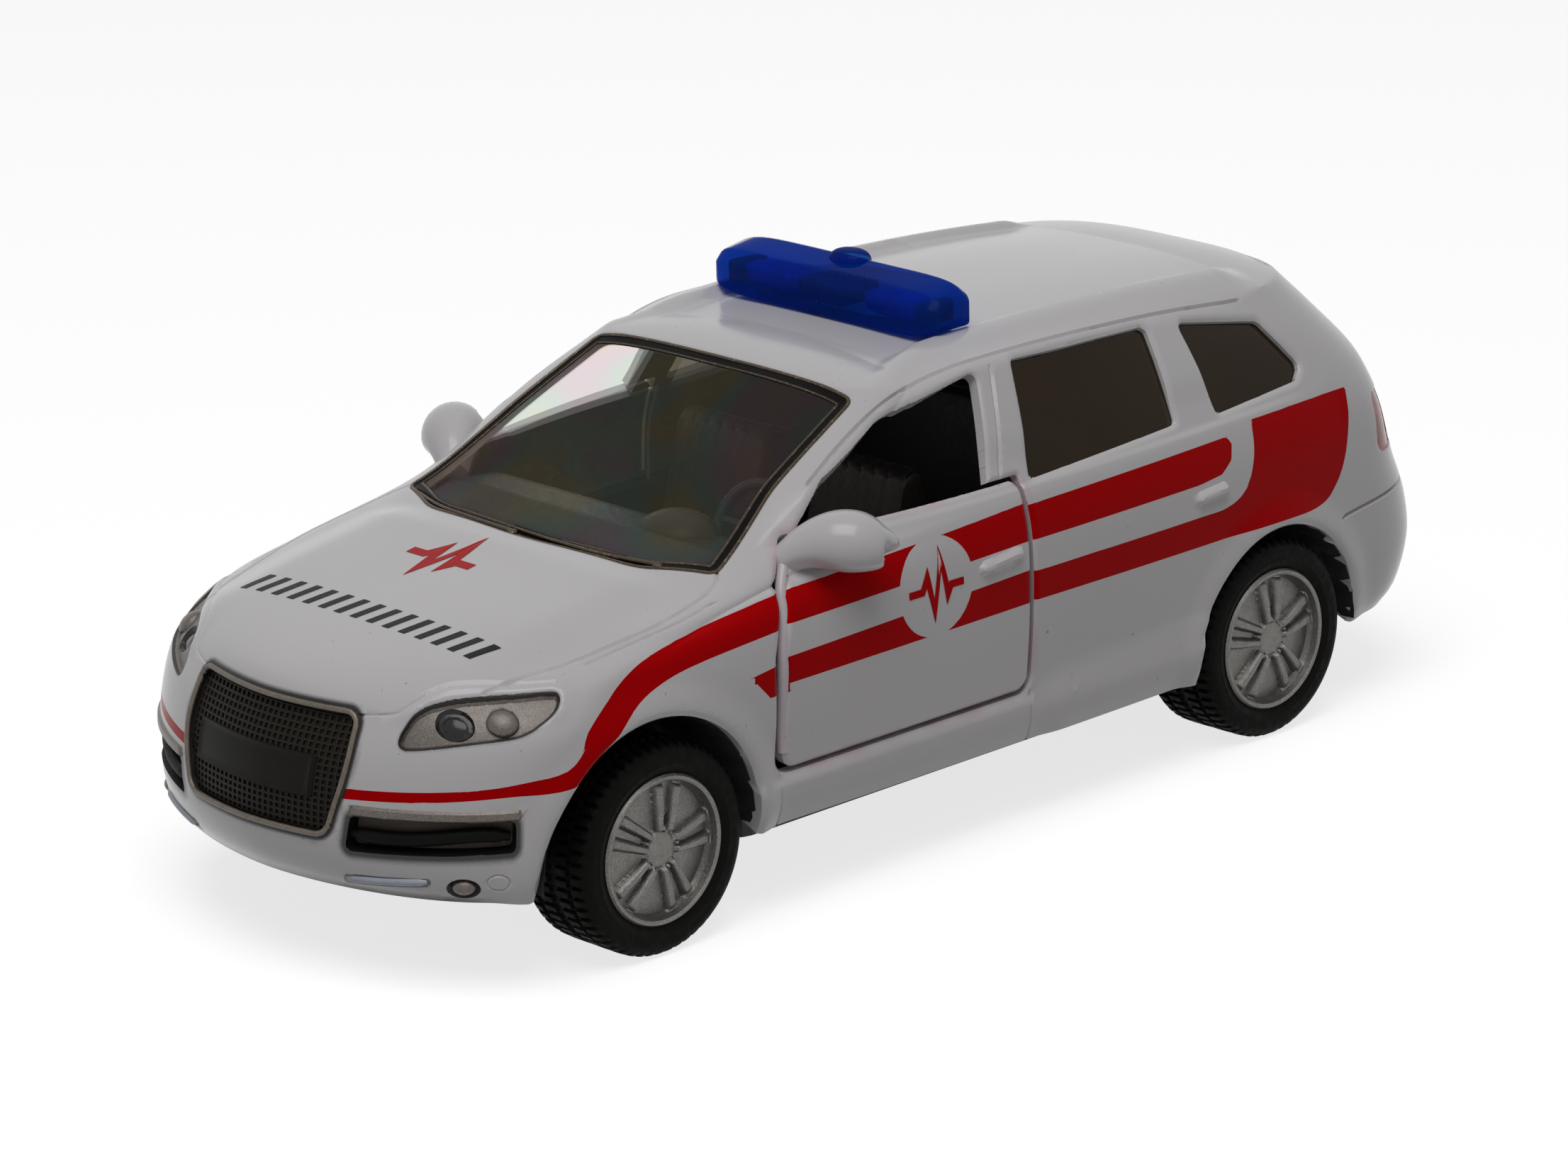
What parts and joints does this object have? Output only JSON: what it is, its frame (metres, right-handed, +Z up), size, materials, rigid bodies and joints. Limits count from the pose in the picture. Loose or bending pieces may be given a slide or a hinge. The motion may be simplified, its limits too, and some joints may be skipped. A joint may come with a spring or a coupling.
{
  "type": "die-cast emergency car",
  "caption": "Small die-cast emergency car: hollow cast body with opening front doors, roof light bar, tinted windows, moulded cabin and free-rolling wheels on a riveted base.",
  "frame": {"origin": "on the ground under the middle of the car, at the centre of the box around it", "axes": "+Y runs along the car from nose to tail, so the front faces -Y; +X is the car's left side; +Z is up"},
  "size_m": [0.0392, 0.0922, 0.0338],
  "materials": {
    "white_paint": "gloss enamel on cast metal, red printed stripes",
    "tinted_plastic": "clear smoke-brown moulding",
    "blue_plastic": "clear deep blue moulding",
    "black_plastic": "matte moulding",
    "dark_base": "dark grey satin",
    "steel": "bright drawn wire",
    "silver_plastic": "silver metallised",
    "rubber": "matte soft rubber"
  },
  "bodies": {
    "car": {"body_shell": "white_paint", "window_unit": "tinted_plastic", "light_bar": "blue_plastic", "grille_insert": "black_plastic", "interior_tub": "black_plastic", "steering_wheel": "black_plastic", "chassis_base": "dark_base", "hinge_pin_left": "steel", "hinge_pin_right": "steel", "rivet_front": "steel", "rivet_rear": "steel"},
    "left_door": {"door_left": "white_paint"},
    "right_door": {"door_right": "white_paint"},
    "front_wheels": {"axle_front": "steel", "rim_front_left": "silver_plastic", "rim_front_right": "silver_plastic", "tyre_front_left": "rubber", "tyre_front_right": "rubber"},
    "rear_wheels": {"axle_rear": "steel", "rim_rear_left": "silver_plastic", "rim_rear_right": "silver_plastic", "tyre_rear_left": "rubber", "tyre_rear_right": "rubber"}
  },
  "joints": [
    {"name": "left_door_hinge", "type": "hinge", "parent": "car", "child": "left_door", "pos_m": [0.01565, -0.0148, 0.01425], "axis": [0, 0, -1], "range_deg": [0, 60]},
    {"name": "right_door_hinge", "type": "hinge", "parent": "car", "child": "right_door", "pos_m": [-0.01565, -0.0148, 0.01425], "axis": [0, 0, 1], "range_deg": [0, 60]},
    {"name": "front_axle_roll", "type": "hinge", "parent": "car", "child": "front_wheels", "pos_m": [0, -0.0282, 0.00665], "axis": [1, 0, 0], "continuous": true},
    {"name": "rear_axle_roll", "type": "hinge", "parent": "car", "child": "rear_wheels", "pos_m": [0, 0.0264, 0.00665], "axis": [1, 0, 0], "continuous": true}
  ]
}
